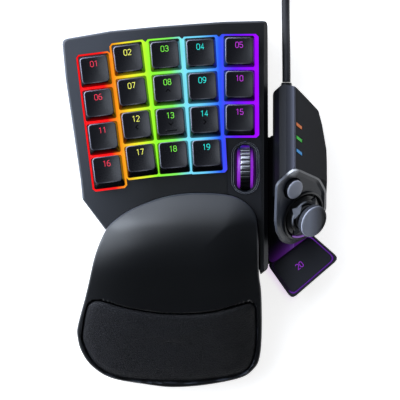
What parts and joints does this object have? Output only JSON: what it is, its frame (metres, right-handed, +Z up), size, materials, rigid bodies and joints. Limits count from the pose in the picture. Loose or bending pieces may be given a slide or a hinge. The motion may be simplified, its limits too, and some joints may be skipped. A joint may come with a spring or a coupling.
{
  "type": "gaming keypad",
  "caption": "Left-hand keypad with fanned light-backed keys, a thumb stick, a scroll wheel, a thumb paddle, a sliding padded palm rest and a coiled cord.",
  "frame": {"origin": "on the desk, under the middle of the keypad's plan without its cord", "axes": "+Z up from the desk, +Y to the rear where the cord leaves, +X to the thumb side"},
  "size_m": [0.152, 0.3042, 0.0599],
  "materials": {
    "housing_plastic": "soft-touch satin",
    "key_plastic": "fine satin",
    "light_guide": "translucent, lit from behind",
    "trim_plastic": "satin",
    "grey_cap": "satin",
    "gloss_black": "polished",
    "rubber": "matte",
    "dome_rubber": "matte silicone",
    "board": "printed circuit laminate",
    "steel": "plain",
    "leather": "fine grain",
    "cord_jacket": "matte jacket"
  },
  "bodies": {
    "housing": {"bottom_housing": "housing_plastic", "top_housing": "housing_plastic", "light_plate": "light_guide", "dome_sheet": "dome_rubber", "circuit_board": "board", "wheel_panel": "housing_plastic", "wheel_bezel": "trim_plastic", "thumb_housing": "housing_plastic", "control_plate": "trim_plastic", "indicator_1": "light_guide", "indicator_2": "light_guide", "indicator_3": "light_guide", "thumb_board": "board", "thumb_key_pin": "steel", "foot_rear_left": "rubber", "foot_rear_right": "rubber", "foot_thumb": "rubber", "screw_rear_left": "steel", "screw_front_left": "steel", "screw_centre": "steel", "screw_thumb": "steel", "strain_relief": "rubber", "cord_run": "cord_jacket", "cord_coil": "cord_jacket", "cord_tie": "rubber", "plug_grip": "rubber", "plug_shell": "steel"},
    "key_01": {"key_01": "key_plastic"},
    "key_02": {"key_02": "key_plastic"},
    "key_03": {"key_03": "key_plastic"},
    "key_04": {"key_04": "key_plastic"},
    "key_05": {"key_05": "key_plastic"},
    "key_06": {"key_06": "key_plastic"},
    "key_07": {"key_07": "key_plastic"},
    "key_08": {"key_08": "key_plastic"},
    "key_09": {"key_09": "key_plastic"},
    "key_10": {"key_10": "key_plastic"},
    "key_11": {"key_11": "key_plastic"},
    "key_12": {"key_12": "key_plastic"},
    "key_13": {"key_13": "key_plastic"},
    "key_14": {"key_14": "key_plastic"},
    "key_15": {"key_15": "key_plastic"},
    "key_16": {"key_16": "key_plastic"},
    "key_17": {"key_17": "key_plastic"},
    "key_18": {"key_18": "key_plastic"},
    "key_19": {"key_19": "key_plastic"},
    "key_20": {"key_20": "key_plastic", "key_20_light": "light_guide"},
    "mode_button": {"mode_button": "grey_cap"},
    "stick_gimbal": {"stick_gimbal": "trim_plastic"},
    "thumb_stick": {"thumb_stick": "grey_cap", "direction_disc": "gloss_black"},
    "wheel_cradle": {"wheel_cradle": "housing_plastic"},
    "scroll_wheel": {"scroll_rim": "light_guide", "scroll_tread": "rubber", "wheel_axle": "steel"},
    "palm_rest": {"palm_shell": "housing_plastic", "palm_pad": "leather", "palm_base": "housing_plastic", "foot_palm": "rubber"}
  },
  "joints": [
    {"name": "key_01_press", "type": "slide", "parent": "housing", "child": "key_01", "axis": [0, 0, -1], "range_m": [0, 0.003], "stiffness_N_per_m": 150, "springref_m": -0.002, "deforming": ["dome_sheet"]},
    {"name": "key_02_press", "type": "slide", "parent": "housing", "child": "key_02", "axis": [0, 0, -1], "range_m": [0, 0.003], "stiffness_N_per_m": 150, "springref_m": -0.002, "deforming": ["dome_sheet"]},
    {"name": "key_03_press", "type": "slide", "parent": "housing", "child": "key_03", "axis": [0, 0, -1], "range_m": [0, 0.003], "stiffness_N_per_m": 150, "springref_m": -0.002, "deforming": ["dome_sheet"]},
    {"name": "key_04_press", "type": "slide", "parent": "housing", "child": "key_04", "axis": [0, 0, -1], "range_m": [0, 0.003], "stiffness_N_per_m": 150, "springref_m": -0.002, "deforming": ["dome_sheet"]},
    {"name": "key_05_press", "type": "slide", "parent": "housing", "child": "key_05", "axis": [0, 0, -1], "range_m": [0, 0.003], "stiffness_N_per_m": 150, "springref_m": -0.002, "deforming": ["dome_sheet"]},
    {"name": "key_06_press", "type": "slide", "parent": "housing", "child": "key_06", "axis": [0, 0, -1], "range_m": [0, 0.003], "stiffness_N_per_m": 150, "springref_m": -0.002, "deforming": ["dome_sheet"]},
    {"name": "key_07_press", "type": "slide", "parent": "housing", "child": "key_07", "axis": [0, 0, -1], "range_m": [0, 0.003], "stiffness_N_per_m": 150, "springref_m": -0.002, "deforming": ["dome_sheet"]},
    {"name": "key_08_press", "type": "slide", "parent": "housing", "child": "key_08", "axis": [0, 0, -1], "range_m": [0, 0.003], "stiffness_N_per_m": 150, "springref_m": -0.002, "deforming": ["dome_sheet"]},
    {"name": "key_09_press", "type": "slide", "parent": "housing", "child": "key_09", "axis": [0, 0, -1], "range_m": [0, 0.003], "stiffness_N_per_m": 150, "springref_m": -0.002, "deforming": ["dome_sheet"]},
    {"name": "key_10_press", "type": "slide", "parent": "housing", "child": "key_10", "axis": [0, 0, -1], "range_m": [0, 0.003], "stiffness_N_per_m": 150, "springref_m": -0.002, "deforming": ["dome_sheet"]},
    {"name": "key_11_press", "type": "slide", "parent": "housing", "child": "key_11", "axis": [0, 0, -1], "range_m": [0, 0.003], "stiffness_N_per_m": 150, "springref_m": -0.002, "deforming": ["dome_sheet"]},
    {"name": "key_12_press", "type": "slide", "parent": "housing", "child": "key_12", "axis": [0, 0, -1], "range_m": [0, 0.003], "stiffness_N_per_m": 150, "springref_m": -0.002, "deforming": ["dome_sheet"]},
    {"name": "key_13_press", "type": "slide", "parent": "housing", "child": "key_13", "axis": [0, 0, -1], "range_m": [0, 0.003], "stiffness_N_per_m": 150, "springref_m": -0.002, "deforming": ["dome_sheet"]},
    {"name": "key_14_press", "type": "slide", "parent": "housing", "child": "key_14", "axis": [0, 0, -1], "range_m": [0, 0.003], "stiffness_N_per_m": 150, "springref_m": -0.002, "deforming": ["dome_sheet"]},
    {"name": "key_15_press", "type": "slide", "parent": "housing", "child": "key_15", "axis": [0, 0, -1], "range_m": [0, 0.003], "stiffness_N_per_m": 150, "springref_m": -0.002, "deforming": ["dome_sheet"]},
    {"name": "key_16_press", "type": "slide", "parent": "housing", "child": "key_16", "axis": [0, 0, -1], "range_m": [0, 0.003], "stiffness_N_per_m": 150, "springref_m": -0.002, "deforming": ["dome_sheet"]},
    {"name": "key_17_press", "type": "slide", "parent": "housing", "child": "key_17", "axis": [0, 0, -1], "range_m": [0, 0.003], "stiffness_N_per_m": 150, "springref_m": -0.002, "deforming": ["dome_sheet"]},
    {"name": "key_18_press", "type": "slide", "parent": "housing", "child": "key_18", "axis": [0, 0, -1], "range_m": [0, 0.003], "stiffness_N_per_m": 150, "springref_m": -0.002, "deforming": ["dome_sheet"]},
    {"name": "key_19_press", "type": "slide", "parent": "housing", "child": "key_19", "axis": [0, 0, -1], "range_m": [0, 0.003], "stiffness_N_per_m": 150, "springref_m": -0.002, "deforming": ["dome_sheet"]},
    {"name": "key_20_press", "type": "hinge", "parent": "housing", "child": "key_20", "pos_m": [0.04965, -0.01707, 0.0172], "axis": [0.7934, 0.6088, 0], "range_deg": [0, 5], "stiffness_Nm_per_rad": 0.25, "springref_deg": -6.88},
    {"name": "mode_button_press", "type": "slide", "parent": "housing", "child": "mode_button", "axis": [-0.623, 0.3597, -0.6947], "range_m": [0, 0.0012], "stiffness_N_per_m": 600, "springref_m": -0.001},
    {"name": "stick_side_tilt", "type": "hinge", "parent": "housing", "child": "stick_gimbal", "pos_m": [0.05477, -0.00488, 0.0362], "axis": [0.5, 0.866, 0], "range_deg": [-8, 8], "stiffness_Nm_per_rad": 0.15},
    {"name": "stick_slope_tilt", "type": "hinge", "parent": "stick_gimbal", "child": "thumb_stick", "pos_m": [0.05477, -0.00488, 0.0362], "axis": [0.6016, -0.3473, -0.7193], "range_deg": [-8, 8], "stiffness_Nm_per_rad": 0.15},
    {"name": "wheel_press", "type": "slide", "parent": "housing", "child": "wheel_cradle", "axis": [0, 0, -1], "range_m": [0, 0.0008], "stiffness_N_per_m": 1500, "springref_m": -0.0006},
    {"name": "wheel_spin", "type": "hinge", "parent": "wheel_cradle", "child": "scroll_wheel", "pos_m": [0.02467, 0.02041, 0.0305], "axis": [1, 0, 0], "continuous": true},
    {"name": "palm_rest_slide", "type": "slide", "parent": "housing", "child": "palm_rest", "axis": [0, -1, 0], "range_m": [0, 0.012]}
  ]
}
